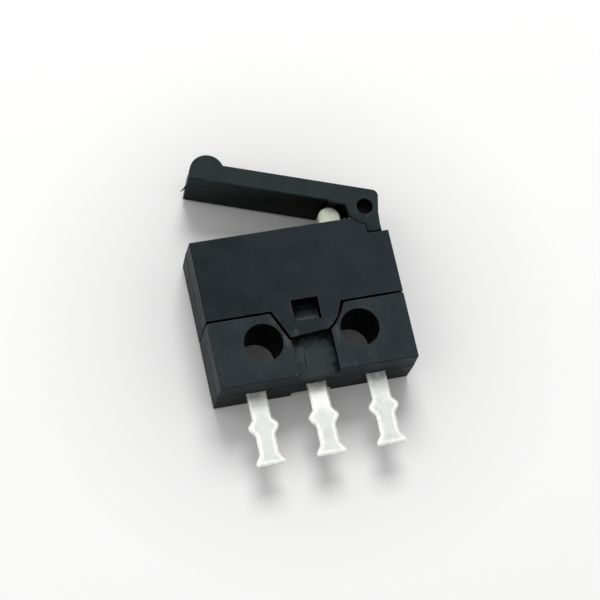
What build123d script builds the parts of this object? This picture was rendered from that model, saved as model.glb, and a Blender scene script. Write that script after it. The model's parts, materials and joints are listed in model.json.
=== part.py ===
from build123d import *
import math
import os

# Ultra-subminiature snap-action switch with a moulded hinge lever, in millimetres.
# It lies on its back: Z is its thickness, X its length towards the lever's pivot, and Y points
# from the terminals to the plunger. The origin is on the back face, midway between the two
# mounting holes.

# Housing
case_length = 8.25
case_thickness = 2.7
height_below_holes = 1.64    # from the line of the mounting holes to the terminal face
height_above_holes = 4.69    # from the same line to the plunger face
edge_round = 0.06
draft_angle = 1.0            # both halves of the mould draw away from the middle plane
wall = 0.4
top_wall = 0.45
hole_pitch = 4.0
hole_diameter = 1.6

# Parting between base and cover
base_rim = 1.15              # height of the base's rim above the mounting holes
rim_gap = 0.1
plug_rise = 0.25             # how far the base's plug stands up inside the cover
plug_clearance = 0.05
rim_corner_round = 0.18

# Snap tongue of the cover, its channel in the base, and the catch
tongue_shoulder_left = -1.42
tongue_shoulder_right = 1.46
tongue_toe_left = -0.86
tongue_toe_depth = 0.04      # height of the toe's corner above the mounting holes
tongue_toe_right = 0.72
tongue_toe_rise = 0.12       # the toe's lower edge climbs this much to the right
tongue_side_bow_depth = 0.11
tongue_gap = 0.12
channel_left = -0.88
channel_right = 0.83
window_width = 1.12
window_bottom = 0.63
window_height = 0.94
catch_clearance = 0.07
catch_proud = 0.3
catch_height = 0.62
window_shield_sheet = 0.15   # wall of the base that closes the view through the window
window_shield_margin = 0.08

# Hinge of the lever on the cover
pivot_from_end = 0.72
pivot_above_top = 0.433
hinge_hole_radius = 0.327
hinge_clearance = 0.035
hinge_recess = 0.45          # how deep the trunnion's end lies inside the lever's cheek
ear_radius = 0.5
ear_neck = 0.7
ear_thickness = 0.9
ear_side_clearance = 0.05
knuckle_clearance = 0.06
notch_depth = 0.79
notch_wall_offset = 0.205    # the stop wall for the lever's tail, left of the pivot

# Lever
lever_inset = 0.15           # the lever's sides lie this much inside the housing's faces
lever_rest_angle = 18.9
lever_travel = 15.0
arm_reach = 7.33             # from the pivot to the far end
arm_depth = 0.795
roller_radius = 0.71         # moulded half roller at the arm's end
roller_rise = 0.44           # height of the roller's centre above the arm's underside
pad_start = 1.496
pad_step_height = 0.076      # raised pad that rides on the plunger
knuckle_radius = 0.8
knuckle_cut = 0.755          # straight front of the knuckle, left of the pivot
lever_heel = 0.5             # end of the lever beyond the pivot, at its top
lever_heel_lower = 0.58      # and where its back face reaches furthest
heel_side_drop = 0.13        # that place below the pivot
heel_round = 0.27
tail_width = 0.63
tail_play = 0.04             # between the tail and its stop wall
tail_floor_clearance = 0.07
slot_clearance = 0.06
lever_chamfer = 0.045
hinge_hole_chamfer = 0.04

# Plunger
plunger_from_pivot = 1.46
plunger_radius = 0.46
plunger_width = 1.5          # along Z
plunger_clearance = 0.02
plunger_contact_gap = 0.02
plunger_edge_bevel = 0.06
collar_overhang = 0.22
collar_height = 0.35
collar_side = 0.1
collar_clearance = 0.06
foot_radius = 0.2
foot_width = 0.7
foot_length = 0.2            # straight part of the foot below the collar

# Terminals
terminal_pitch = 2.5
terminal_thickness = 0.25
terminal_width = 0.8
terminal_length = 3.04
barb_start = 1.08            # distances along a terminal from the terminal face
barb_peak = 1.42
barb_end = 1.79
barb_half_width = 0.68
barb_round = 0.22
barb_root_round = 0.12
flare_start = 2.58
flare_end = 2.88
flare_half_width = 0.61
flare_round = 0.14
tip_round = 0.11
coin_width = 0.085           # bevel pressed along a terminal's edges
coin_depth = 0.04
slot_fit = 0.02              # between a terminal and its slot in the base
leg_wall = 0.18              # base material between a mounting hole and a terminal's inner leg
leg_margin = 0.2             # between a leg and the inside of the cover's end wall
jog_height = 0.36            # height of the cross part that carries a leg out past its hole
jog_rise = 0.1               # from the terminal face to the cross part

# Contacts
contact_radius = 0.3
contact_height = 0.15
contact_gap = 0.5            # travel of the moving contact
contact_clearance = 0.03
pad_thickness = 0.2
pad_width = 1.0
pad_margin = 0.1
riser_width = 0.3

# Common frame, contact arm and inner lever
frame_floor = 0.2
frame_sheet = 0.2
frame_width = 1.6
post_width = 0.4
post_head = 0.3              # how far a post stands above its notch
notch_bite = 0.12
notch_half_height = 0.16
arm_pivot_height = 1.22      # above the base's inner floor
arm_pivot_before_plunger = 1.045
arm_sheet = 0.1
arm_width = 1.4
arm_slot = 0.62
arm_tip_margin = 0.1
arm_tip_clearance = 0.1      # between the arm's tip and the riser of the normally closed terminal
lug_width = 1.7
lug_length = 0.3
inner_lever_reach = 1.575    # from the inner lever's own pivot to the plunger
inner_pivot_height = 1.7     # above the base's inner floor
inner_lever_sheet = 0.12
inner_lever_width = 1.0
inner_lever_clearance = 0.02
inner_lever_bend = 1.3       # from the plunger's middle to where the strip bends down to its pivot
hook_drop = 0.48             # from the inner lever's top down to the spring's hole
hook_margin = 0.14           # strip left below the hole
hook_before_plunger = 0.3

# Tension spring, wound from square wire
spring_wire = 0.09
spring_radius = 0.17
spring_pitch = 0.16
spring_body = 1.6
spring_anchor_reach = 2.5    # from the arm's pivot to the hook hole in the arm
loop_radius = 0.14
loop_hole_radius = 0.075

# Heights and places that follow from the sizes above
half_length = case_length / 2
mid_plane = case_thickness / 2
case_bottom = -height_below_holes
case_top = height_above_holes
cover_rim = base_rim + rim_gap
inner_floor = base_rim + plug_rise
ceiling = case_top - top_wall
cavity_half_length = half_length - wall
cavity_back = wall
cavity_front = case_thickness - wall
channel_depth = wall + plug_clearance
pivot_x = half_length - pivot_from_end
pivot_y = case_top + pivot_above_top
notch_floor = case_top - notch_depth
notch_wall = pivot_x - notch_wall_offset
notch_radius = knuckle_radius + knuckle_clearance
lever_width = case_thickness - 2 * lever_inset
fork_gap = ear_thickness + 2 * ear_side_clearance
trunnion_radius = hinge_hole_radius - hinge_clearance
trunnion_length = lever_width - 2 * hinge_recess
rest_angle = math.radians(lever_rest_angle)
travel_angle = math.radians(lever_travel)
leg_inner = hole_pitch / 2 + hole_diameter / 2 + leg_wall
leg_outer = cavity_half_length - leg_margin


def plunger_height(arm_angle):
    """Height of the plunger's round centre above the pivot when it touches the lever's pad."""
    reach = plunger_from_pivot * math.tan(arm_angle)
    return reach - (plunger_radius + pad_step_height) / math.cos(arm_angle)


plunger_x = pivot_x - plunger_from_pivot
plunger_y = pivot_y + plunger_height(rest_angle) - plunger_contact_gap
plunger_travel = plunger_height(rest_angle) - plunger_height(rest_angle - travel_angle)
collar_top = ceiling - plunger_clearance
foot_tip = collar_top - collar_height - foot_length - foot_radius

arm_pivot_x = plunger_x - arm_pivot_before_plunger
arm_pivot_y = inner_floor + arm_pivot_height
arm_tip_x = riser_width + arm_tip_clearance - leg_outer
contact_reach = arm_pivot_x - arm_tip_x - contact_radius - arm_tip_margin
arm_tilt = math.asin(contact_gap / 2 / contact_reach)
inner_pivot_x = plunger_x + inner_lever_reach
inner_pivot_y = inner_floor + inner_pivot_height
inner_lever_top = foot_tip - inner_lever_clearance
hook_x = plunger_x - hook_before_plunger
hook_y = inner_lever_top - hook_drop
contact_x = arm_pivot_x - contact_reach * math.cos(arm_tilt)
contact_half_stack = arm_sheet / 2 + contact_height + contact_clearance


def slab(face, bottom, top):
    """A sketch in the XY plane given thickness between two heights."""
    return extrude(Pos(0, 0, bottom) * face, top - bottom)


def centred(face, width):
    """A sketch in the XY plane given a width about the housing's middle plane."""
    return slab(face, mid_plane - width / 2, mid_plane + width / 2)


def polygon(*points):
    return make_face(Polyline(*points, close=True))


def rectangle(left, bottom, right, top):
    return polygon((left, bottom), (right, bottom), (right, top), (left, top))


def disc(x, y, radius):
    return Pos(x, y) * Circle(radius)


def housing_block():
    """Outer form of the whole housing: drafted from the middle plane, with rounded edges."""
    outline = RectangleRounded(case_length, height_below_holes + height_above_holes, edge_round)
    half = extrude(outline, case_thickness / 2, taper=draft_angle)
    half = fillet(half.faces().sort_by(Axis.Z)[-1].edges(), edge_round)
    block = half + mirror(half, about=Plane.XY)
    return Pos(0, (case_bottom + case_top) / 2, mid_plane) * block


def tongue_outline():
    """Outline of the snap tongue, from inside the cover's wall down to its toe."""
    toe_right_y = tongue_toe_depth + tongue_toe_rise
    start = (tongue_toe_right, toe_right_y)
    end = (tongue_shoulder_right, cover_rim)
    chord = math.dist(start, end)
    middle_x = (start[0] + end[0]) / 2 + tongue_side_bow_depth * (end[1] - start[1]) / chord
    middle_y = (start[1] + end[1]) / 2 - tongue_side_bow_depth * (end[0] - start[0]) / chord
    lines = Polyline(
        end,
        (tongue_shoulder_right, cover_rim + wall),
        (tongue_shoulder_left, cover_rim + wall),
        (tongue_shoulder_left, cover_rim),
        (tongue_toe_left, tongue_toe_depth),
        start,
    )
    return make_face(lines + ThreePointArc(start, (middle_x, middle_y), end))


def mounting_holes():
    holes = Sketch() + [disc(side * hole_pitch / 2, 0, hole_diameter / 2) for side in (-1, 1)]
    return slab(holes, -wall, case_thickness + wall)


def hinge_notch():
    """Room in the cover for the lever's knuckle and tail."""
    tail_room = rectangle(notch_wall, notch_floor, half_length + wall, case_top + wall)
    return disc(pivot_x, pivot_y, notch_radius) + tail_room


def hinge_ear():
    """Ear between the lever's cheeks, with a trunnion on each side."""
    neck = rectangle(pivot_x - ear_neck / 2, notch_floor - wall / 2, pivot_x + ear_neck / 2, pivot_y)
    ear = centred(disc(pivot_x, pivot_y, ear_radius) + neck, ear_thickness)
    return ear + centred(disc(pivot_x, pivot_y, trunnion_radius), trunnion_length)


def faces_both_sides(face, depth):
    """The same shallow cut, or wall, on the front and on the back of the housing."""
    front = slab(face, case_thickness - depth, case_thickness)
    back = slab(face, 0, depth)
    return front + back


def make_cover():
    shell = housing_block() - slab(
        rectangle(-case_length, case_bottom - wall, case_length, cover_rim), -wall, case_thickness + wall
    )
    shell += faces_both_sides(tongue_outline(), wall)
    tall_end = plunger_x + plunger_radius + collar_overhang + collar_clearance
    low_ceiling = notch_floor - wall
    room = rectangle(-cavity_half_length, base_rim, tall_end, ceiling)
    room += rectangle(tall_end - wall, base_rim, cavity_half_length, low_ceiling)
    shell -= slab(room, cavity_back, cavity_front)
    window = rectangle(
        -window_width / 2, window_bottom, window_width / 2, window_bottom + window_height
    )
    shell -= slab(window, -wall, case_thickness + wall)
    half_slot = plunger_radius + plunger_clearance
    slot = rectangle(plunger_x - half_slot, ceiling - wall, plunger_x + half_slot, case_top + wall)
    shell -= centred(slot, plunger_width + 2 * plunger_clearance)
    shell -= slab(hinge_notch(), -wall, case_thickness + wall)
    return shell + hinge_ear()


def make_catch():
    """Wedge that the tongue's window snaps over: flat below, sloping above."""
    low = window_bottom + catch_clearance
    root = case_thickness - channel_depth
    profile = Plane.YZ * polygon((low, root), (low, root + catch_proud), (low + catch_height, root))
    width = window_width - 2 * catch_clearance
    front = Pos(-width / 2, 0, 0) * extrude(profile, width)
    return front + mirror(front, about=Plane.XY.offset(mid_plane))


def make_window_shields():
    """Thin walls on the base's plug, one behind each of the cover's windows."""
    half_width = window_width / 2 + window_shield_margin
    top = window_bottom + window_height + window_shield_margin
    wall_face = rectangle(-half_width, base_rim, half_width, top)
    low = cavity_back + plug_clearance
    high = cavity_front - plug_clearance
    shields = slab(wall_face, low, low + window_shield_sheet)
    return shields + slab(wall_face, high - window_shield_sheet, high)


def make_base():
    above = rectangle(-case_length, base_rim, case_length, case_top + wall)
    base = housing_block() - slab(above, -wall, case_thickness + wall)
    pocket = offset(tongue_outline(), amount=tongue_gap, kind=Kind.INTERSECTION)
    pocket += rectangle(channel_left, case_bottom - wall, channel_right, window_bottom)
    base -= faces_both_sides(pocket, channel_depth)
    plug_half = cavity_half_length - plug_clearance
    plug = rectangle(-plug_half, base_rim - wall, plug_half, inner_floor)
    base += slab(plug, cavity_back + plug_clearance, cavity_front - plug_clearance)
    base += make_window_shields()
    base += make_catch()
    corners = [
        edge for edge in base.edges().filter_by(Axis.Z)
        if abs(edge.center().Y - base_rim) < plug_clearance and 0 < edge.center().X < cavity_half_length
        and edge.length < wall + 2 * plug_clearance
    ]
    base = fillet(corners, rim_corner_round)
    base -= mounting_holes()
    for outline in (com_outline, no_outline, nc_outline):
        base -= centred(offset(outline(), amount=slot_fit), terminal_thickness + 2 * slot_fit)
    return base


def tab_corners(side):
    """One side of a terminal's tab as corners, from inside the base down to its tip."""
    return [
        (side * half_width, case_bottom - distance)
        for half_width, distance in (
            (terminal_width / 2, -jog_rise),
            (terminal_width / 2, barb_start),
            (barb_half_width, barb_peak),
            (terminal_width / 2, barb_end),
            (terminal_width / 2, flare_start),
            (flare_half_width, flare_end),
            (flare_half_width, terminal_length),
        )
    ]


def rounded_at(face, distance, radius):
    """The face with its corners at one distance from the terminal face rounded."""
    corners = [v for v in face.vertices() if abs(v.Y - case_bottom + distance) < slot_fit]
    return fillet(corners, radius)


def terminal_outline():
    """Outside part of a terminal: a flat tab with a pair of barbs and a flared end."""
    tab = polygon(*tab_corners(1), *reversed(tab_corners(-1)))
    for distance, radius in (
        (barb_start, barb_root_round),
        (barb_peak, barb_round),
        (barb_end, barb_root_round),
        (flare_start, flare_round),
        (flare_end, tip_round),
        (terminal_length, tip_round),
    ):
        tab = rounded_at(tab, distance, radius)
    return tab


def make_tab(x):
    """Tab cut from sheet, its edges pressed to bevels on both faces."""
    half = extrude(terminal_outline(), terminal_thickness / 2)
    face = half.faces().sort_by(Axis.Z)[-1]
    edges = [edge for edge in face.edges() if edge.center().Y < case_bottom + jog_rise / 2]
    half = chamfer(edges, coin_width, coin_depth, reference=face)
    return Pos(x, 0, mid_plane) * (half + mirror(half, about=Plane.XY))


def tab_root(x):
    """Where a tab enters the base."""
    half = terminal_width / 2
    return rectangle(x - half, case_bottom, x + half, case_bottom + jog_rise)


def side_leg(side, top):
    """Inner leg that passes outside a mounting hole; side is 1 at the pivot end, -1 at the other."""
    low = case_bottom + jog_rise
    inner_edge = terminal_pitch - terminal_width / 2
    points = [
        (inner_edge, low),
        (leg_outer, low),
        (leg_outer, top),
        (leg_inner, top),
        (leg_inner, low + jog_height),
        (inner_edge, low + jog_height),
    ]
    return polygon(*[(side * x, y) for x, y in points])


def com_outline():
    return tab_root(terminal_pitch) + side_leg(1, inner_floor + frame_floor)


def no_outline():
    """Middle terminal: straight up between the holes, then along the base's floor."""
    half = terminal_width / 2
    upright = rectangle(-half, case_bottom, half, no_pad_bottom())
    runner = rectangle(contact_x, inner_floor, half, no_pad_bottom())
    return upright + runner


def nc_outline():
    riser = rectangle(-leg_outer, inner_floor, -leg_outer + riser_width, nc_pad_top())
    return tab_root(-terminal_pitch) + side_leg(-1, inner_floor) + riser


def no_pad_bottom():
    return arm_pivot_y - contact_gap / 2 - contact_half_stack - contact_height - pad_thickness


def nc_pad_top():
    return arm_pivot_y + contact_gap / 2 + contact_half_stack + contact_height + pad_thickness


def make_com_terminal():
    """Common terminal: its leg carries a folded frame with two pairs of notched posts."""
    blade = centred(com_outline(), terminal_thickness) + make_tab(terminal_pitch)
    left = arm_pivot_x - notch_bite / 2
    right = inner_pivot_x + notch_bite / 2
    floor = centred(rectangle(left, inner_floor, right, inner_floor + frame_floor), frame_width)
    front_post = rectangle(left, inner_floor, left + post_width, arm_pivot_y + post_head)
    rear_post = rectangle(right - post_width, inner_floor, right, inner_pivot_y + post_head / 2)
    front_notch = polygon(
        (left, arm_pivot_y - notch_half_height),
        (left + notch_bite, arm_pivot_y),
        (left, arm_pivot_y + notch_half_height),
    )
    rear_notch = polygon(
        (right, inner_pivot_y - notch_half_height),
        (right - notch_bite, inner_pivot_y),
        (right, inner_pivot_y + notch_half_height),
    )
    posts = front_post + rear_post - front_notch - rear_notch
    inner_width = frame_width - 2 * frame_sheet
    cheeks = centred(posts, frame_width) - centred(posts, inner_width)
    return blade + floor + cheeks


def make_no_terminal():
    pad = rectangle(
        contact_x - contact_radius, no_pad_bottom(), contact_x + contact_radius + pad_margin,
        no_pad_bottom() + pad_thickness,
    )
    return centred(no_outline(), terminal_thickness) + centred(pad, pad_width) + make_tab(0)


def make_nc_terminal():
    pad = rectangle(
        -leg_outer, nc_pad_top() - pad_thickness, contact_x + contact_radius + pad_margin, nc_pad_top()
    )
    blade = centred(nc_outline(), terminal_thickness) + make_tab(-terminal_pitch)
    return blade + centred(pad, pad_width)


def contact_button(bottom, top):
    """Round contact standing along Y."""
    button = Cylinder(contact_radius, top - bottom)
    return Pos(contact_x, (bottom + top) / 2, mid_plane) * Rot(90, 0, 0) * button


def make_fixed_contacts():
    no_bottom = no_pad_bottom() + pad_thickness
    nc_top = nc_pad_top() - pad_thickness
    return {
        "no_contact": contact_button(no_bottom, no_bottom + contact_height),
        "nc_contact": contact_button(nc_top - contact_height, nc_top),
    }


def arm_place():
    """Where the arm's own axes lie: the origin on its knife edge, the blade along -X."""
    return Pos(arm_pivot_x, arm_pivot_y, mid_plane) * Rot(0, 0, -math.degrees(arm_tilt))


def make_contact_arm():
    """Forked blade: its two knife-edged lugs sit in the front posts' notches."""
    tip = contact_reach + contact_radius + arm_tip_margin
    outline = rectangle(-tip, -arm_width / 2, 0, arm_width / 2)
    outline += rectangle(-lug_length, -lug_width / 2, 0, lug_width / 2)
    slot_end = spring_anchor_reach - loop_radius
    outline -= rectangle(-slot_end, -arm_slot / 2, arm_sheet, arm_slot / 2)
    outline -= disc(-spring_anchor_reach, 0, loop_hole_radius)
    outline -= disc(-contact_reach, 0, contact_radius / 2)
    blade = extrude(outline, arm_sheet / 2, both=True)
    beyond_edge = polygon(
        (-arm_sheet / 2, arm_sheet),
        (0, 0),
        (-arm_sheet / 2, -arm_sheet),
        (arm_sheet, -arm_sheet),
        (arm_sheet, arm_sheet),
    )
    blade -= extrude(Plane.XZ * beyond_edge, arm_width, both=True)
    return arm_place() * Rot(90, 0, 0) * blade


def make_moving_contact():
    """Rivet through the arm, with a head on each side."""
    heads = Cylinder(contact_radius, 2 * contact_height + arm_sheet)
    collar = Cylinder(contact_radius, arm_sheet) - Cylinder(contact_radius / 2, arm_sheet)
    return arm_place() * Pos(-contact_reach, 0, 0) * Rot(90, 0, 0) * (heads - collar)


def make_inner_lever():
    """Bent strip pressed by the plunger's foot; its tip hangs down to hold the spring."""
    sheet = inner_lever_sheet
    lug_left = inner_pivot_x
    lug_low = inner_pivot_y - sheet / 2
    top = inner_lever_top
    bend_x = plunger_x + inner_lever_bend
    strip = polygon(
        (lug_left, lug_low),
        (lug_left + sheet, lug_low),
        (lug_left + sheet, lug_low + sheet),
        (bend_x, top),
        (hook_x - sheet / 2, top),
        (hook_x - sheet / 2, hook_y - hook_margin),
        (hook_x + sheet / 2, hook_y - hook_margin),
        (hook_x + sheet / 2, top - sheet),
        (bend_x, top - sheet),
    )
    lug = rectangle(lug_left, lug_low, lug_left + sheet, lug_low + sheet)
    hole = Pos(hook_x, hook_y, mid_plane) * Rot(0, 90, 0) * Cylinder(loop_hole_radius, 2 * sheet)
    return centred(strip, inner_lever_width) + centred(lug, lug_width) - hole


def make_plunger():
    left = plunger_x - plunger_radius
    right = plunger_x + plunger_radius
    stem = disc(plunger_x, plunger_y, plunger_radius)
    stem += rectangle(left, collar_top - collar_height, right, plunger_y)
    collar = rectangle(
        left - collar_overhang, collar_top - collar_height, right + collar_overhang, collar_top
    )
    foot = disc(plunger_x, foot_tip + foot_radius, foot_radius)
    foot += rectangle(
        plunger_x - foot_radius, foot_tip + foot_radius, plunger_x + foot_radius, collar_top
    )
    half = extrude(stem, plunger_width / 2)
    rim = [edge for edge in half.faces().sort_by(Axis.Z)[-1].edges() if edge.center().Y > collar_top]
    half = chamfer(rim, plunger_edge_bevel)
    body = Pos(0, 0, mid_plane) * (half + mirror(half, about=Plane.XY))
    body += centred(collar, plunger_width + 2 * collar_side)
    return body + centred(foot, foot_width)


def on_arm(x, y):
    """A point of the housing's plane, given in the lever arm's own axes about the pivot."""
    across = x - pivot_x
    up = y - pivot_y
    turn_cos = math.cos(rest_angle)
    turn_sin = math.sin(rest_angle)
    return (across * turn_cos - up * turn_sin, across * turn_sin + up * turn_cos)


def on_knuckle(angle):
    """A point of the knuckle's round, at an angle from straight below the pivot, in the same axes."""
    return on_arm(pivot_x - knuckle_radius * math.sin(angle), pivot_y - knuckle_radius * math.cos(angle))


def lever_outline():
    """Side view of the lever in its own axes: the pivot at 0, the arm along -X."""
    roller_x = roller_radius - arm_reach
    roller_end = roller_x + math.sqrt(roller_radius**2 - (arm_depth - roller_rise) ** 2)
    roller_top = (roller_x, roller_rise + roller_radius)
    tail_left = notch_wall + tail_play
    tail_right = tail_left + tail_width
    tail_bottom = notch_floor + tail_floor_clearance
    front_angle = math.asin(knuckle_cut / knuckle_radius)
    tail_angle = math.asin((pivot_x - tail_left) / knuckle_radius)
    knuckle_front = on_knuckle(front_angle)
    knuckle_low = on_knuckle((front_angle + tail_angle) / 2)
    tail_root = on_knuckle(tail_angle)
    pad_end = -knuckle_cut / math.cos(rest_angle)
    lines = Polyline(
        (-arm_reach, roller_rise),
        (-arm_reach, 0),
        (-pad_start, 0),
        (-pad_start, -pad_step_height),
        (pad_end, -pad_step_height),
        knuckle_front,
    )
    lines += ThreePointArc(knuckle_front, knuckle_low, tail_root)
    lines += Polyline(
        tail_root,
        on_arm(tail_left, tail_bottom),
        on_arm(tail_right, tail_bottom),
        on_arm(tail_right, pivot_y - knuckle_radius),
        (lever_heel_lower, -heel_side_drop),
        (lever_heel, arm_depth - heel_round),
    )
    corner = heel_round * (1 - math.sqrt(0.5))
    lines += ThreePointArc(
        (lever_heel, arm_depth - heel_round),
        (lever_heel - corner, arm_depth - corner),
        (lever_heel - heel_round, arm_depth),
    )
    lines += Line((lever_heel - heel_round, arm_depth), (roller_end, arm_depth))
    lines += ThreePointArc((roller_end, arm_depth), roller_top, (-arm_reach, roller_rise))
    return make_face(lines)


def make_lever():
    """Moulded lever: one arm, forked at the pivot around the cover's ear."""
    half = extrude(lever_outline(), lever_width / 2)
    half = chamfer(half.faces().sort_by(Axis.Z)[-1].edges(), lever_chamfer)
    body = half + mirror(half, about=Plane.XY)
    slot = disc(0, 0, ear_radius + slot_clearance)
    slot += rectangle(-knuckle_radius, -2 * knuckle_radius, 2 * knuckle_radius, 0)
    body -= extrude(slot, fork_gap / 2, both=True)
    body -= Cylinder(hinge_hole_radius, lever_width)
    rims = [edge for edge in body.edges().filter_by(GeomType.CIRCLE)
            if abs(edge.radius - hinge_hole_radius) < hinge_clearance
            and abs(edge.arc_center.Z) > fork_gap / 2 + slot_clearance]
    body = chamfer(rims, hinge_hole_chamfer)
    return Pos(pivot_x, pivot_y, mid_plane) * Rot(0, 0, -lever_rest_angle) * body


def make_tension_spring():
    """Open-wound spring from the arm's hook hole to the inner lever's tip."""
    arm_reach_to_loop = spring_anchor_reach - loop_radius
    arm_end = Vector(
        arm_pivot_x - arm_reach_to_loop * math.cos(arm_tilt),
        arm_pivot_y + arm_reach_to_loop * math.sin(arm_tilt),
        mid_plane,
    )
    lever_end = Vector(hook_x, hook_y - loop_radius, mid_plane)
    span = (lever_end - arm_end).length
    lead = (span - spring_body) / 2
    wire = spring_wire
    helix = Helix(pitch=spring_pitch, height=spring_body, radius=spring_radius)
    section = Plane(origin=helix @ 0, z_dir=helix % 0) * Rectangle(wire, wire)
    spring = Pos(0, 0, lead) * sweep(section, path=helix, is_frenet=True)
    tail = Pos(0, 0, (loop_radius + lead) / 2) * Box(wire, wire, lead - loop_radius)
    spoke = Pos(spring_radius / 2, 0, lead) * Box(spring_radius, wire, wire)
    loop = Cylinder(loop_radius + wire / 2, wire) - Cylinder(loop_radius - wire / 2, wire)
    hook = tail + spoke + Rot(90, 0, 0) * loop
    spring += hook
    spring += Pos(0, 0, span) * Rot(180, 0, 0) * hook
    along = Plane(origin=arm_end, x_dir=(0, 0, 1), z_dir=lever_end - arm_end)
    return along * Rot(0, 0, 90) * spring


def make_parts():
    parts = {
        "base": make_base(),
        "cover": make_cover(),
        "lever": make_lever(),
        "plunger": make_plunger(),
        "com_terminal": make_com_terminal(),
        "no_terminal": make_no_terminal(),
        "nc_terminal": make_nc_terminal(),
        "contact_arm": make_contact_arm(),
        "moving_contact": make_moving_contact(),
        "inner_lever": make_inner_lever(),
        "tension_spring": make_tension_spring(),
    }
    parts.update(make_fixed_contacts())
    return parts


os.makedirs("parts", exist_ok=True)
for name, solid in make_parts().items():
    export_step(solid, f"parts/{name}.step")
    print(name, round(solid.volume, 4))
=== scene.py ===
import json
import math
import random
import bmesh
import bpy
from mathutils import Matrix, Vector


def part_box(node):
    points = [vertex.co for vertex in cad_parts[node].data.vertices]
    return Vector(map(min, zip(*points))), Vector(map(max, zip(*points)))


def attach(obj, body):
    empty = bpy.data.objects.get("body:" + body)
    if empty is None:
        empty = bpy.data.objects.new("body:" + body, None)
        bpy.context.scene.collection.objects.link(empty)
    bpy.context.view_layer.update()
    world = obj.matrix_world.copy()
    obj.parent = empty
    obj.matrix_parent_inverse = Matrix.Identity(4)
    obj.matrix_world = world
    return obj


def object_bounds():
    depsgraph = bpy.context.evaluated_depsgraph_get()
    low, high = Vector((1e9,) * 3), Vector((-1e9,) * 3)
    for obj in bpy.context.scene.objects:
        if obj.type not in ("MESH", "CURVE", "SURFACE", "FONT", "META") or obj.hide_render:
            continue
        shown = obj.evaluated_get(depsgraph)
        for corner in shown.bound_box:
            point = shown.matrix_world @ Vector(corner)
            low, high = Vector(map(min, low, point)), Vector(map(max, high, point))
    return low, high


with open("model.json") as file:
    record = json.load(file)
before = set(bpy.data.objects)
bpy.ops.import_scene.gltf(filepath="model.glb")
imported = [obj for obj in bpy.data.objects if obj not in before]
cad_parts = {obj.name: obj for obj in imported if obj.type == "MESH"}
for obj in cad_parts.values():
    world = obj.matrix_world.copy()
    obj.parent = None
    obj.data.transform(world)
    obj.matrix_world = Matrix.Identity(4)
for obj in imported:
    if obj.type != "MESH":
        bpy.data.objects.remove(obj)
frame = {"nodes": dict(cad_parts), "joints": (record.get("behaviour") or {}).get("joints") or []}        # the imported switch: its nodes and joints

mm = 0.001
cadLow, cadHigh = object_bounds()
baseLow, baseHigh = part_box("base")
midPlane = (baseLow.z + baseHigh.z) / 2
frontFace = baseHigh.z
terminalFace = baseLow.y                 # the face that the terminals leave from
caseTop = max(vert.co.y for vert in frame["nodes"]["cover"].data.vertices if vert.co.x < 0)
pivot = Vector(next(joint["pos_m"] for joint in frame["joints"] if joint["name"] == "lever_hinge"))
weldReach = 0.0001 * mm                  # corners of a mesh nearer than this are one corner
fewestSteps = 3                          # in any straight path
threadSteps = 2                          # how finely a thread's round section is divided
roundSamples = 6
shadeSamples = 8
noiseRoughness = 0.55
allNoise = (0.3, 0.7)                    # nearly all of a noise lies between these


def newMaterial(name):
    material = bpy.data.materials.new(name)
    material.use_nodes = True
    tree = material.node_tree
    return material, tree, tree.nodes["Principled BSDF"]


def addNode(tree, kind, inputs=(), **settings):
    node = tree.nodes.new(kind)
    for key, value in settings.items():
        setattr(node, key, value)
    for key, value in dict(inputs).items():
        if isinstance(value, bpy.types.NodeSocket):
            tree.links.new(value, node.inputs[key])
        else:
            node.inputs[key].default_value = value
    return node


def restPoint(tree, stretch=(1, 1, 1)):  # where a point lies on the resting part, stretched
    here = addNode(tree, "ShaderNodeTexCoord").outputs["Object"]
    return addNode(tree, "ShaderNodeMapping", {"Vector": here, "Scale": stretch}).outputs["Vector"]


def grain(tree, point, size, detail=3.0, twist=0.0):
    noise = addNode(tree, "ShaderNodeTexNoise", {
        "Vector": point, "Scale": 1 / size, "Detail": detail,
        "Roughness": noiseRoughness, "Distortion": twist})
    return noise.outputs["Fac"]


def spread(tree, value, fromLow, fromHigh, toLow, toHigh):
    return addNode(tree, "ShaderNodeMapRange", {
        "Value": value, "From Min": fromLow, "From Max": fromHigh,
        "To Min": toLow, "To Max": toHigh}).outputs["Result"]


def blendColour(tree, factor, first, second, mode="MIX"):
    first, second = [
        tone if isinstance(tone, bpy.types.NodeSocket) else (*tone, 1) for tone in (first, second)]
    mix = addNode(tree, "ShaderNodeMix", {0: factor, 6: first, 7: second}, data_type="RGBA", blend_type=mode)
    return mix.outputs[2]


def calculate(tree, operation, first, second):
    return addNode(tree, "ShaderNodeMath", {0: first, 1: second}, operation=operation).outputs[0]


def alongAxis(tree, point, axis):
    return addNode(tree, "ShaderNodeSeparateXYZ", {"Vector": point}).outputs[axis]


def roundedNormal(tree, radius):
    return addNode(tree, "ShaderNodeBevel", {"Radius": radius}, samples=roundSamples).outputs["Normal"]


def edgeMask(tree, reach, flattest, sharpest):      # 1 where the skin turns, 0 where it is flat
    flat = addNode(tree, "ShaderNodeNewGeometry").outputs["Normal"]
    alike = addNode(
        tree, "ShaderNodeVectorMath", {0: roundedNormal(tree, reach), 1: flat}, operation="DOT_PRODUCT")
    return spread(tree, alike.outputs["Value"], flattest, sharpest, 0, 1)


def openness(tree, reach):               # 1 on an open face, less where neighbours hem it in
    shade = addNode(tree, "ShaderNodeAmbientOcclusion", {"Distance": reach}, samples=shadeSamples)
    return shade.outputs["AO"]


def bump(tree, height, depth, normal):
    return addNode(tree, "ShaderNodeBump", {
        "Height": height, "Distance": depth, "Strength": 1.0, "Normal": normal}).outputs["Normal"]


scuffOrLightLook = {
    "ragged": 0.3,                       # how far a mark's outline strays, as a share of its reach
    "outside": 1.1,                      # no mark from this share of its reach outwards
    "inside": 0.5,                       # full mark from this one inwards
}


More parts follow.
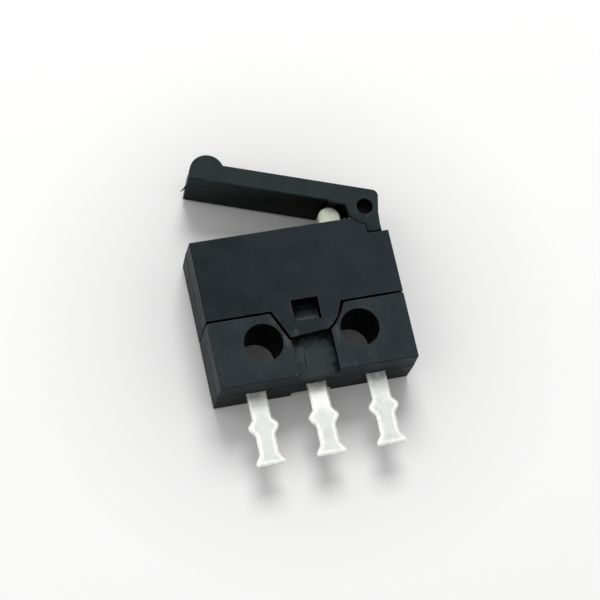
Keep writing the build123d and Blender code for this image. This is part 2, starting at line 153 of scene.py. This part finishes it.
def scuffOrLightMask(tree, point, centre, reach, noise):      # 1 in the middle of a worn place or of painted light or shade, fading out
    look = scuffOrLightLook
    local = addNode(tree, "ShaderNodeMapping", {
        "Vector": point,
        "Scale": [1 / side for side in reach],
        "Location": [-middle / side for middle, side in zip(centre, reach)]})
    away = addNode(tree, "ShaderNodeVectorMath", {0: local.outputs["Vector"]}, operation="LENGTH")
    stray = spread(tree, noise, *allNoise, -look["ragged"], look["ragged"])
    away = calculate(tree, "ADD", away.outputs["Value"], stray)
    return spread(tree, away, look["outside"], look["inside"], 0, 1)


mouldedLook = {
    "cover": {"deep": (0.0112, 0.0163, 0.0185), "pale": (0.0250, 0.0320, 0.0375)},
    "base": {"deep": (0.0240, 0.0320, 0.0350), "pale": (0.0325, 0.0415, 0.0455)},
    "lever": {"deep": (0.0215, 0.0290, 0.0305), "pale": (0.0255, 0.0340, 0.0350)},
    # seam and flash are paler than the housing: painted highlights on the thin ridges and burrs
    "seam": {"deep": (0.0260, 0.0320, 0.0340), "pale": (0.0480, 0.0540, 0.0560)},
    "flash": {"deep": (0.0750, 0.0850, 0.0820), "pale": (0.1600, 0.1720, 0.1640)},
    "paintedGloss": {"cover": (-4.2 * mm, 2.6 * mm)},        # painted sheen: paler from the first place along X to the second, standing in for a lamp's gloss across the cover
    "paintedGlossShare": 0.6,
    "patchSize": 1.3 * mm,
    "patchNoise": (0.35, 0.65),          # deep up to the first, pale from the second on
    "mottleSize": 0.22 * mm,
    "mottleGain": (0.92, 1.09),
    "hemmedShadeReach": 2.5 * mm,             # painted shade: crevices and hemmed-in faces are darkened to near black by ambient occlusion
    "hemmedShadeOpenness": (0.5, 0.98),       # all black up to the first, none from the second on
    "hemmedShadeTone": (0.0012, 0.0016, 0.0018),
    "edgeReach": 0.07 * mm,              # how far from an edge the skin is painted paler: rubbed wear and a painted edge highlight
    "edgeTurn": (0.995, 0.9),            # cosines of the skin's turn: none, and a full edge
    "edgeTone": (0.052, 0.062, 0.066),
    "rubbedAndLitNoise": (0.40, 0.65),
    "rubbedAndLitShare": (0.1, 0.9),           # least and most of the edge tone along an edge
    "dustSize": 0.05 * mm,
    "dustNoise": (0.77, 0.80),           # only the noise's peaks are dust
    "dustShare": 0.5,
    "dustTone": (0.10, 0.105, 0.10),
    "sheenSize": 0.44 * mm,
    "roughness": (0.38, 0.48),
    "specular": 0.04,
    "edgeRound": 0.03 * mm,
    "rippleSize": 0.9 * mm,
    "rippleDepth": 0.0012 * mm,
    "grainSize": 0.035 * mm,
    "grainDepth": 0.0009 * mm,
    "scuffsAndPaintedLight": {                          # worn marks and painted light and shade; middle and reach in mm, tone, strength
        "base": {
            # painted light: paler over the channel floor, lifting the painted shade there
            "channelFloor": ((-0.06, -0.92, 2.25), (1.15, 1.12, 0.25), (0.040, 0.051, 0.052), 0.85),
            "channelPatch": ((-0.55, -0.62, 2.25), (0.28, 0.46, 0.25), (0.062, 0.075, 0.074), 0.55),
            # painted shade along a fine crease down the channel floor, with a painted highlight on its right
            # side
            "creaseShade": ((-0.40, -0.90, 2.25), (0.04, 0.30, 0.25), (0.007, 0.009, 0.009), 0.80),
            "creaseHighlight": ((-0.33, -0.92, 2.25), (0.05, 0.26, 0.25), (0.066, 0.078, 0.078), 0.60),
            "catch": ((0.00, 0.76, 2.50), (0.60, 0.16, 0.50), (0.052, 0.060, 0.061), 0.80),
            "webNearPivot": ((1.04, -0.07, 2.70), (0.10, 0.50, 0.20), (0.064, 0.076, 0.076), 0.60),
            "farWeb": ((-1.06, -0.03, 2.70), (0.13, 0.32, 0.20), (0.066, 0.078, 0.072), 0.70),
            "farShoulder": ((-1.40, 0.85, 2.70), (0.16, 0.16, 0.20), (0.060, 0.070, 0.066), 0.60),
            "nick": ((1.52, -1.46, 2.70), (0.06, 0.08, 0.20), (0.080, 0.080, 0.079), 0.60),
            "speck": ((2.13, -1.14, 2.70), (0.05, 0.05, 0.20), (0.066, 0.076, 0.070), 0.60),
            # a small dark spot on the base's front
            "darkSpot": ((3.18, -0.72, 2.70), (0.05, 0.06, 0.20), (0.010, 0.012, 0.012), 0.90),
        },
        "cover": {
            "toe": ((-0.63, 0.20, 2.70), (0.14, 0.22, 0.20), (0.048, 0.062, 0.048), 0.60),
            "roundSide": ((0.92, 0.42, 2.70), (0.30, 0.30, 0.20), (0.036, 0.044, 0.046), 0.50),
            # painted shade: near black on the pin's end down in the lever's hinge hole
            "pinShade": (
                (pivot.x / mm, pivot.y / mm, 2.25), (0.45, 0.45, 0.30), (0.001, 0.001, 0.001), 1.00),
        },
        "lever": {
            "holeRim": (
                (pivot.x / mm, pivot.y / mm, 2.70), (0.58, 0.58, 0.20), (0.052, 0.064, 0.062), 0.80),
        },
    },
}


def mouldedPlastic(part):
    look = mouldedLook
    material, tree, shader = newMaterial(part + "Plastic")
    point = restPoint(tree)
    patches = spread(tree, grain(tree, point, look["patchSize"], 2), *look["patchNoise"], 0, 1)
    # painted sheen: the cover is painted paler along X, standing in for a lamp's gloss
    if part in look["paintedGloss"]:
        share = look["paintedGlossShare"]
        paintedGlossRamp = spread(tree, alongAxis(tree, point, "X"), *look["paintedGloss"][part], 0, share)
        patches = calculate(tree, "ADD", paintedGlossRamp, calculate(tree, "MULTIPLY", patches, 1 - share))
    tone = blendColour(tree, patches, look[part]["deep"], look[part]["pale"])
    mottle = spread(tree, grain(tree, point, look["mottleSize"], 4), *allNoise, *look["mottleGain"])
    tone = blendColour(tree, 1.0, tone, addNode(tree, "ShaderNodeCombineColor", {
        "Red": mottle, "Green": mottle, "Blue": mottle}).outputs["Color"], "MULTIPLY")
    # painted shade: darker towards near black where ambient occlusion finds neighbours close
    hemmedShade = spread(tree, openness(tree, look["hemmedShadeReach"]), *look["hemmedShadeOpenness"], 1, 0)
    tone = blendColour(tree, hemmedShade, tone, look["hemmedShadeTone"])
    ragged = grain(tree, point, look["mottleSize"], 3)
    for centre, reach, markTone, strength in look["scuffsAndPaintedLight"].get(part, {}).values():
        centre, reach = [[side * mm for side in sides] for sides in (centre, reach)]
        scuffedOrLit = calculate(tree, "MULTIPLY", scuffOrLightMask(tree, point, centre, reach, ragged), strength)
        tone = blendColour(tree, scuffedOrLit, tone, markTone)
    # edges painted paler: part rubbed wear, part painted highlight where edges catch the light
    rubbedAndLit = spread(tree, grain(tree, point, look["patchSize"] / 2, 2),
                    *look["rubbedAndLitNoise"], *look["rubbedAndLitShare"])
    edges = calculate(tree, "MULTIPLY", edgeMask(tree, look["edgeReach"], *look["edgeTurn"]), rubbedAndLit)
    tone = blendColour(tree, edges, tone, look["edgeTone"])
    dust = spread(tree, grain(tree, point, look["dustSize"], 1), *look["dustNoise"], 0, look["dustShare"])
    tree.links.new(blendColour(tree, dust, tone, look["dustTone"]), shader.inputs["Base Color"])
    sheen = spread(tree, grain(tree, point, look["sheenSize"], 3), *allNoise, *look["roughness"])
    tree.links.new(sheen, shader.inputs["Roughness"])
    shader.inputs["Specular IOR Level"].default_value = look["specular"]
    rounded = roundedNormal(tree, look["edgeRound"])
    ripple = bump(tree, grain(tree, point, look["rippleSize"], 1), look["rippleDepth"], rounded)
    fine = bump(tree, grain(tree, point, look["grainSize"], 4), look["grainDepth"], ripple)
    tree.links.new(fine, shader.inputs["Normal"])
    return material


plungerLook = {
    "deep": (0.44, 0.46, 0.40),
    "pale": (0.62, 0.64, 0.52),
    "patchSize": 0.5 * mm,
    "patchNoise": (0.35, 0.6),
    "brightTone": (0.80, 0.84, 0.68),    # painted light: paler just above the housing, where light bounces up off its top
    "brightReach": (0.30 * mm, 0.02 * mm),           # fully paler from the second height down
    "brightShare": 0.7,
    "roughness": (0.50, 0.42),
    "grainSize": 0.06 * mm,
    "grainDepth": 0.002 * mm,
    "glow": 0.25,                        # light carried under the surface
    "glowReach": 0.15 * mm,
    "glowSpread": (1.0, 0.9, 0.6),
    "edgeRound": 0.04 * mm,
}


def creamPlastic():
    look = plungerLook
    material, tree, shader = newMaterial("plungerPlastic")
    point = restPoint(tree)
    patches = spread(tree, grain(tree, point, look["patchSize"], 3), *look["patchNoise"], 0, 1)
    tone = blendColour(tree, patches, look["deep"], look["pale"])
    heights = [caseTop + height for height in look["brightReach"]]
    # painted light: the plunger is painted paler just above the housing
    bounceLit = spread(tree, alongAxis(tree, point, "Y"), *heights, 0, look["brightShare"])
    tree.links.new(blendColour(tree, bounceLit, tone, look["brightTone"]), shader.inputs["Base Color"])
    tree.links.new(spread(tree, patches, 0, 1, *look["roughness"]), shader.inputs["Roughness"])
    shader.inputs["Subsurface Weight"].default_value = look["glow"]
    shader.inputs["Subsurface Radius"].default_value = look["glowSpread"]
    shader.inputs["Subsurface Scale"].default_value = look["glowReach"]
    rounded = roundedNormal(tree, look["edgeRound"])
    tree.links.new(bump(tree, grain(tree, point, look["grainSize"], 3), look["grainDepth"], rounded),
                   shader.inputs["Normal"])
    return material


platingLightLook = {                          # painted light and shade on the plating; distances are along a terminal from the housing
    "gleamReach": (1.50 * mm, 0.55 * mm),            # painted light: whiter plating from the second place in, lifting the housing's shadow near the exit
    "gleamTone": (0.88, 0.90, 0.875),
    "gleamShare": 0.9,
    "exitShadeReach": (0.45 * mm, 0.20 * mm),           # painted shade of the housing on the terminal: darker and duller from the second place in
    "smudgeTone": (0.40, 0.41, 0.39),
    "exitShadeSize": 0.225 * mm,
    "exitShadeNoise": (0.3, 0.6),
    "exitShadeLeast": 0.35,
    "rimReach": 0.24 * mm,               # how far the painted highlight on a pressed edge runs
    "rimTurn": (0.9999, 0.985),
    "rimHighlightTone": (1.00, 0.99, 0.96),
    "rimSize": 0.15 * mm,
    "rimNoise": (0.35, 0.6),
    "rimLeast": 0.55,
    "dullFrom": 0.3,                     # a rim dulls from this much painted shade on
    "dullRim": 0.25,
}


def platingLightAndShade(tree, point, tone):
    look = platingLightLook
    along = alongAxis(tree, point, "Y")
    # painted light: whiter towards the housing, where its shadow falls on the terminal
    gleam = spread(
        tree, along, *[terminalFace - reach for reach in look["gleamReach"]], 0, look["gleamShare"])
    tone = blendColour(tree, gleam, tone, look["gleamTone"])
    # painted shade: the housing's shadow on the terminal near its exit
    near = spread(tree, along, *[terminalFace - reach for reach in look["exitShadeReach"]], 0, 1)
    shadeBlotches = spread(
        tree, grain(tree, point, look["exitShadeSize"], 4), *look["exitShadeNoise"], look["exitShadeLeast"], 1)
    tone = blendColour(tree, calculate(tree, "MULTIPLY", near, shadeBlotches), tone, look["smudgeTone"])
    # painted highlight along the terminals' pressed edges
    rim = edgeMask(tree, look["rimReach"], *look["rimTurn"])
    rim = calculate(tree, "MULTIPLY", rim, spread(tree, near, look["dullFrom"], 1, 1, look["dullRim"]))
    rim = calculate(tree, "MULTIPLY", rim, spread(
        tree, grain(tree, point, look["rimSize"], 2), *look["rimNoise"], look["rimLeast"], 1))
    return blendColour(tree, rim, tone, look["rimHighlightTone"])


metalLook = {                            # each roughness runs from deep to pale
    "terminal": {"deep": (0.52, 0.54, 0.525), "pale": (0.67, 0.695, 0.675), "metallic": 0.5,
                 "roughness": (0.48, 0.30)},
    "contact": {"deep": (0.74, 0.74, 0.71), "pale": (0.92, 0.92, 0.90), "metallic": 1.0,
                "roughness": (0.34, 0.18)},
    "bronze": {"deep": (0.55, 0.33, 0.16), "pale": (0.80, 0.55, 0.30), "metallic": 1.0,
               "roughness": (0.40, 0.22)},
    "steel": {"deep": (0.46, 0.46, 0.47), "pale": (0.68, 0.68, 0.69), "metallic": 1.0,
              "roughness": (0.36, 0.20)},
    "cloudSize": 0.45 * mm,
    "cloudTwist": 0.4,
    "cloudNoise": (0.35, 0.65),
    "rollSize": 0.09 * mm,
    "rollDepth": 0.0012 * mm,
    "rollStretch": (1, 0.12, 1),         # rolling lines run along Y
    "edgeRound": 0.03 * mm,
}


def stripMetal(kind):
    look = metalLook
    own = look[kind]
    material, tree, shader = newMaterial(kind + "Metal")
    point = restPoint(tree)
    clouds = spread(tree, grain(tree, point, look["cloudSize"], 3, look["cloudTwist"]),
                    *look["cloudNoise"], 0, 1)
    tone = blendColour(tree, clouds, own["deep"], own["pale"])
    if kind == "terminal":
        tone = platingLightAndShade(tree, point, tone)
    tree.links.new(tone, shader.inputs["Base Color"])
    shader.inputs["Metallic"].default_value = own["metallic"]
    tree.links.new(spread(tree, clouds, 0, 1, *own["roughness"]), shader.inputs["Roughness"])
    rolled = grain(tree, restPoint(tree, look["rollStretch"]), look["rollSize"], 4)
    tree.links.new(bump(tree, rolled, look["rollDepth"], roundedNormal(tree, look["edgeRound"])),
                   shader.inputs["Normal"])
    return material


def dressNodes():
    dress = {
        "base": mouldedPlastic("base"),
        "cover": mouldedPlastic("cover"),
        "lever": mouldedPlastic("lever"),
        "plunger": creamPlastic(),
        "contact_arm": stripMetal("bronze"),
    }
    terminalMetal = stripMetal("terminal")
    contactMetal = stripMetal("contact")
    steel = stripMetal("steel")
    for name in ("com_terminal", "no_terminal", "nc_terminal"):
        dress[name] = terminalMetal
    for name in ("no_contact", "nc_contact", "moving_contact"):
        dress[name] = contactMetal
    for name in ("inner_lever", "tension_spring"):
        dress[name] = steel
    for name, node in frame["nodes"].items():
        node.data.materials.clear()
        node.data.materials.append(dress[name])
    print("materials on", len(dress), "nodes")


studioLook = {
    "floorSize": 3.0,
    "floorTone": (0.965, 0.965, 0.96),
    "bounceTone": (0.40, 0.385, 0.375),  # what the paper sends back up under the switch
    "paleGain": 0.10,                    # how much paler the paper looks, out past the switch's shadow
    "paleReach": (6 * mm, 12 * mm),
    "floorRoughness": 0.9,
    "floorSpecular": 0.1,
    "worldLight": 0.45,
    "worldSeen": 1.0,
    "lamps": {
        "key": {"from": (20 * mm, 150 * mm, 185 * mm), "size": 110 * mm, "watts": 0.30},
        "fill": {"from": (-160 * mm, 20 * mm, 200 * mm), "size": 180 * mm, "watts": 0.06},
    },
}

cameraLook = {
    "at": (-20.406 * mm, -28.441 * mm, 96.072 * mm),
    "turn": (19.623, -8.106, -12.462),   # degrees about X, Y and Z
    "lens": 149.23,
    "nearest": 1 * mm,
}


def seenRays(tree):                      # 1 for rays that show the studio itself, 0 for its light
    rays = addNode(tree, "ShaderNodeLightPath").outputs
    seen = calculate(tree, "MAXIMUM", rays["Is Camera Ray"], rays["Is Glossy Ray"])
    return calculate(tree, "MAXIMUM", seen, rays["Is Transmission Ray"])


def floorPaper():
    look = studioLook
    material, tree, shader = newMaterial("floorPaper")
    shown = seenRays(tree)
    tree.links.new(blendColour(tree, shown, look["bounceTone"], look["floorTone"]),
                   shader.inputs["Base Color"])
    shader.inputs["Roughness"].default_value = look["floorRoughness"]
    shader.inputs["Specular IOR Level"].default_value = look["floorSpecular"]
    shader.inputs["Emission Color"].default_value = (1, 1, 1, 1)
    here = addNode(tree, "ShaderNodeTexCoord").outputs["Object"]
    away = addNode(tree, "ShaderNodeVectorMath", {0: here, 1: (cadLow + cadHigh) / 2}, operation="DISTANCE")
    pale = spread(tree, away.outputs["Value"], *look["paleReach"], 0, look["paleGain"])
    tree.links.new(calculate(tree, "MULTIPLY", shown, pale), shader.inputs["Emission Strength"])
    return material


def makeFloor():
    half = studioLook["floorSize"] / 2
    corners = [(-half, -half, 0), (half, -half, 0), (half, half, 0), (-half, half, 0)]
    mesh = bpy.data.meshes.new("floor")
    mesh.from_pydata(corners, [], [(0, 1, 2, 3)])
    mesh.materials.append(floorPaper())
    floor = bpy.data.objects.new("floor", mesh)
    bpy.context.scene.collection.objects.link(floor)
    floor.location.z = cadLow.z
    print("floor laid")


def makeWorld():
    look = studioLook
    world = bpy.data.worlds.new("studio")
    world.use_nodes = True
    tree = world.node_tree
    background = tree.nodes["Background"]
    background.inputs["Color"].default_value = (1, 1, 1, 1)
    tree.links.new(spread(tree, seenRays(tree), 0, 1, look["worldLight"], look["worldSeen"]),
                   background.inputs["Strength"])
    bpy.context.scene.world = world
    bpy.context.scene.view_settings.view_transform = "Standard"
    print("world lit")


def makeLamps():
    middle = (cadLow + cadHigh) / 2
    for name, lamp in studioLook["lamps"].items():
        light = bpy.data.lights.new(name, "AREA")
        light.size = lamp["size"]
        light.energy = lamp["watts"]
        holder = bpy.data.objects.new(name, light)
        holder.location = lamp["from"]
        holder.rotation_euler = (middle - Vector(lamp["from"])).to_track_quat("-Z", "Y").to_euler()
        bpy.context.scene.collection.objects.link(holder)
    print("lamps hung")


def makeCamera():
    look = cameraLook
    lens = bpy.data.cameras.new("camera")
    lens.lens = look["lens"]
    lens.clip_start = look["nearest"]
    camera = bpy.data.objects.new("camera", lens)
    camera.location = look["at"]
    camera.rotation_euler = [math.radians(angle) for angle in look["turn"]]
    bpy.context.scene.collection.objects.link(camera)
    bpy.context.scene.camera = camera
    print("camera set")


def outlineAt(node, level):              # closed loops where a node's skin crosses one height
    work = bmesh.new()
    work.from_mesh(frame["nodes"][node].data)
    bmesh.ops.remove_doubles(work, verts=work.verts, dist=weldReach)
    bmesh.ops.bisect_plane(
        work, geom=work.verts[:] + work.edges[:] + work.faces[:],
        plane_co=(0, 0, level), plane_no=(0, 0, 1), clear_inner=True, clear_outer=True)
    unseen = dict.fromkeys(work.verts)
    loops = []
    while unseen:
        vert = next(iter(unseen))
        loop = []
        while vert:
            unseen.pop(vert)
            loop.append(vert.co.copy())
            onward = [edge.other_vert(vert) for edge in vert.link_edges]
            vert = next((other for other in onward if other in unseen), None)
        loops.append(loop)
    work.free()
    return loops


def evenSteps(loop, step):               # points at even steps round a closed loop
    points = []
    for start, end in zip(loop, loop[1:] + loop[:1]):
        count = max(1, round((end - start).length / step))
        points += [start.lerp(end, index / count) for index in range(count)]
    return points


def straightPath(first, last, step):
    count = max(fewestSteps, round((last - first).length / step))
    return [first.lerp(last, index / count) for index in range(count + 1)]


def stretches(points, keep):             # runs of neighbouring points that keep() accepts
    runs = [[]]
    for point in points:
        if keep(point):
            runs[-1].append(point)
        elif runs[-1]:
            runs.append([])
    if len(runs) > 1 and keep(points[0]) and keep(points[-1]):
        runs[0] = runs.pop() + runs[0]
    return [run for run in runs if len(run) > 2]


def skinPoint(node, across, up):         # the place on a node's front skin above a point of the plane
    start = Vector((across, up, frontFace + mm))
    met, place, normal, index = frame["nodes"][node].ray_cast(start, Vector((0, 0, -1)))
    return place if met else Vector((across, up, frontFace))


def addThreads(name, paths, look, body, material):      # fine uneven threads along some paths
    dice = random.Random(look["seed"])
    curve = bpy.data.curves.new(name, "CURVE")
    curve.dimensions = "3D"
    curve.bevel_depth = look["radius"]
    curve.bevel_resolution = threadSteps
    curve.use_fill_caps = True
    for path in paths:
        spline = curve.splines.new("POLY")
        spline.points.add(len(path) - 1)
        for index, (point, place) in enumerate(zip(spline.points, path)):
            along = index / (len(path) - 1)
            point.co = (*place, 1)
            point.radius = look["taper"](along) * dice.uniform(1 - look["uneven"], 1 + look["uneven"])
    thread = bpy.data.objects.new(name, curve)
    curve.materials.append(material)
    bpy.context.scene.collection.objects.link(thread)
    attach(thread, body)
    print(name, "laid,", len(paths), "threads")


def seamTaper(along):                    # thin at both ends only
    return min(1, 6 * along + 0.2, 6 * (1 - along) + 0.2)


seamLook = {                             # parting lines of the moulds, round each outer skin
    "radius": 0.011 * mm,
    "uneven": 0.45,
    "taper": seamTaper,
    "step": 0.09 * mm,
    "baseAbove": 0.24 * mm,              # the base parts at its terminals' faces, not mid-way
    "skinDepth": 0.06 * mm,              # how near the outermost skin a point has to lie
    "forkReach": 0.62 * mm,              # the lever's fork round the pivot carries no thread
    "padReach": 1.55 * mm,               # nor does its underside this near the pivot
    "seed": 11,
}


def layPartingSeams():
    look = seamLook
    seam = mouldedPlastic("seam")

    def onHousing(point):
        inward = min(
            point.x - baseLow.x, baseHigh.x - point.x, point.y - terminalFace, caseTop - point.y)
        return inward < look["skinDepth"] and point.y < caseTop + look["skinDepth"]

    def onLever(point):
        if (point - pivot).xy.length < look["forkReach"]:
            return False
        return point.x < pivot.x - look["padReach"] or point.y > pivot.y

    for node, level, body, keep in (
        ("base", midPlane + look["baseAbove"], "housing", onHousing),
        ("cover", midPlane, "housing", onHousing),
        ("lever", midPlane, "lever", onLever),
    ):
        paths = []
        for loop in outlineAt(node, level):
            paths += stretches(evenSteps(loop, look["step"]), keep)
        addThreads(node + "Seam", paths, look, body, seam)


def burrTaper(along):                    # full in the middle, fading to both ends
    return math.sin(math.pi * min(1, max(0, 0.04 + 0.92 * along))) ** 0.6


def beadTaper(along):                    # fat in the middle, blunt at the ends
    return 0.35 + 0.65 * math.sin(math.pi * along)


burrLook = {                             # frayed flash on the housing's edges; places are X and Y in mm
    "radius": 0.015 * mm,
    "uneven": 0.6,
    "taper": burrTaper,
    "step": 0.035 * mm,
    "tongueEdge": ((0.58, 1.34), (0.10, 0.92)),      # the part of the tongue's round side with flash
    "toeMarks": (((-0.57, 0.31), (-0.60, 0.08)), ((-0.10, 0.10), (-0.05, 0.07))),
    "rimMarks": (((-3.88, 1.30), (-3.85, 1.22)), ((-4.09, 1.86), (-4.08, 1.79))),
    "channelMarks": (((-0.31, -0.32), (-0.445, -1.15)),),
    "edgeSlivers": ((-1.81, 0.09), (-1.47, 0.14), (-1.39, 0.13), (-0.97, 0.15)),     # X and height, mm
    "sliverFoot": 0.02,                  # how high a sliver starts, and how far it leans
    "seed": 5,
}

beadLook = {                             # two nubs of flash on the cover's top edge, beside the plunger
    "radius": 0.034 * mm,
    "uneven": 0.15,
    "taper": beadTaper,
    "step": 0.03 * mm,
    "spans": ((2.36, 2.46), (2.54, 2.67)),           # where each starts and ends along X, in mm
    "back": 0.05 * mm,
    "seed": 8,
}


def markPath(node, start, end, step):    # a scratch's path over a node's front skin
    places = straightPath(Vector(start) * mm, Vector(end) * mm, step)
    return [skinPoint(node, place.x, place.y) for place in places]


def layBurrs():
    look = burrLook
    flash = mouldedPlastic("flash")
    (left, right), (low, high) = look["tongueEdge"]

    def onTongueEdge(point):
        return left * mm < point.x < right * mm and low * mm < point.y < high * mm

    paths = []
    for loop in outlineAt("cover", frontFace - look["radius"]):
        paths += stretches(evenSteps(loop, look["step"]), onTongueEdge)
    paths += [markPath("cover", *ends, look["step"]) for ends in look["toeMarks"] + look["rimMarks"]]
    addThreads("coverBurrs", paths, look, "housing", flash)
    paths = [markPath("base", *ends, look["step"]) for ends in look["channelMarks"]]
    foot = terminalFace / mm
    for across, height in look["edgeSlivers"]:
        start = (across, foot + height)
        end = (across - look["sliverFoot"], foot + look["sliverFoot"])
        paths.append(markPath("base", start, end, look["step"]))
    addThreads("baseBurrs", paths, look, "housing", flash)
    layBeads(flash)


def layBeads(flash):
    look = beadLook
    up = caseTop - look["radius"] / 2
    paths = []
    for start, end in look["spans"]:
        first, last = [Vector((across * mm, up, frontFace - look["back"])) for across in (start, end)]
        paths.append(straightPath(first, last, look["step"]))
    addThreads("coverBeads", paths, look, "housing", flash)


def whiskerTaper(along):                 # thick at the root, fine at the tip
    return 1.9 - 1.5 * along


whiskerLook = {                          # hair of flash left at the lever's far end, from its lower corner
    "radius": 0.030 * mm,
    "uneven": 0.15,
    "taper": whiskerTaper,
    "steps": 12,
    "root": (0.05 * mm, 0.10 * mm),
    "bend": (-0.06 * mm, 0.02 * mm),
    "tip": (-0.23 * mm, -0.09 * mm),
    "seed": 3,
}


def layWhisker():
    look = whiskerLook
    outline = [point for loop in outlineAt("lever", midPlane) for point in loop]
    corner = min(outline, key=lambda point: point.x)
    root, bend, tip = [corner + Vector((*look[end], 0)) for end in ("root", "bend", "tip")]
    path = []
    for index in range(look["steps"] + 1):
        along = index / look["steps"]
        path.append(root.lerp(bend, along).lerp(bend.lerp(tip, along), along))
    addThreads("leverWhisker", [path], look, "lever", mouldedPlastic("lever"))


makeCamera()
makeFloor()
makeWorld()
makeLamps()
dressNodes()
layPartingSeams()
layBurrs()
layWhisker()
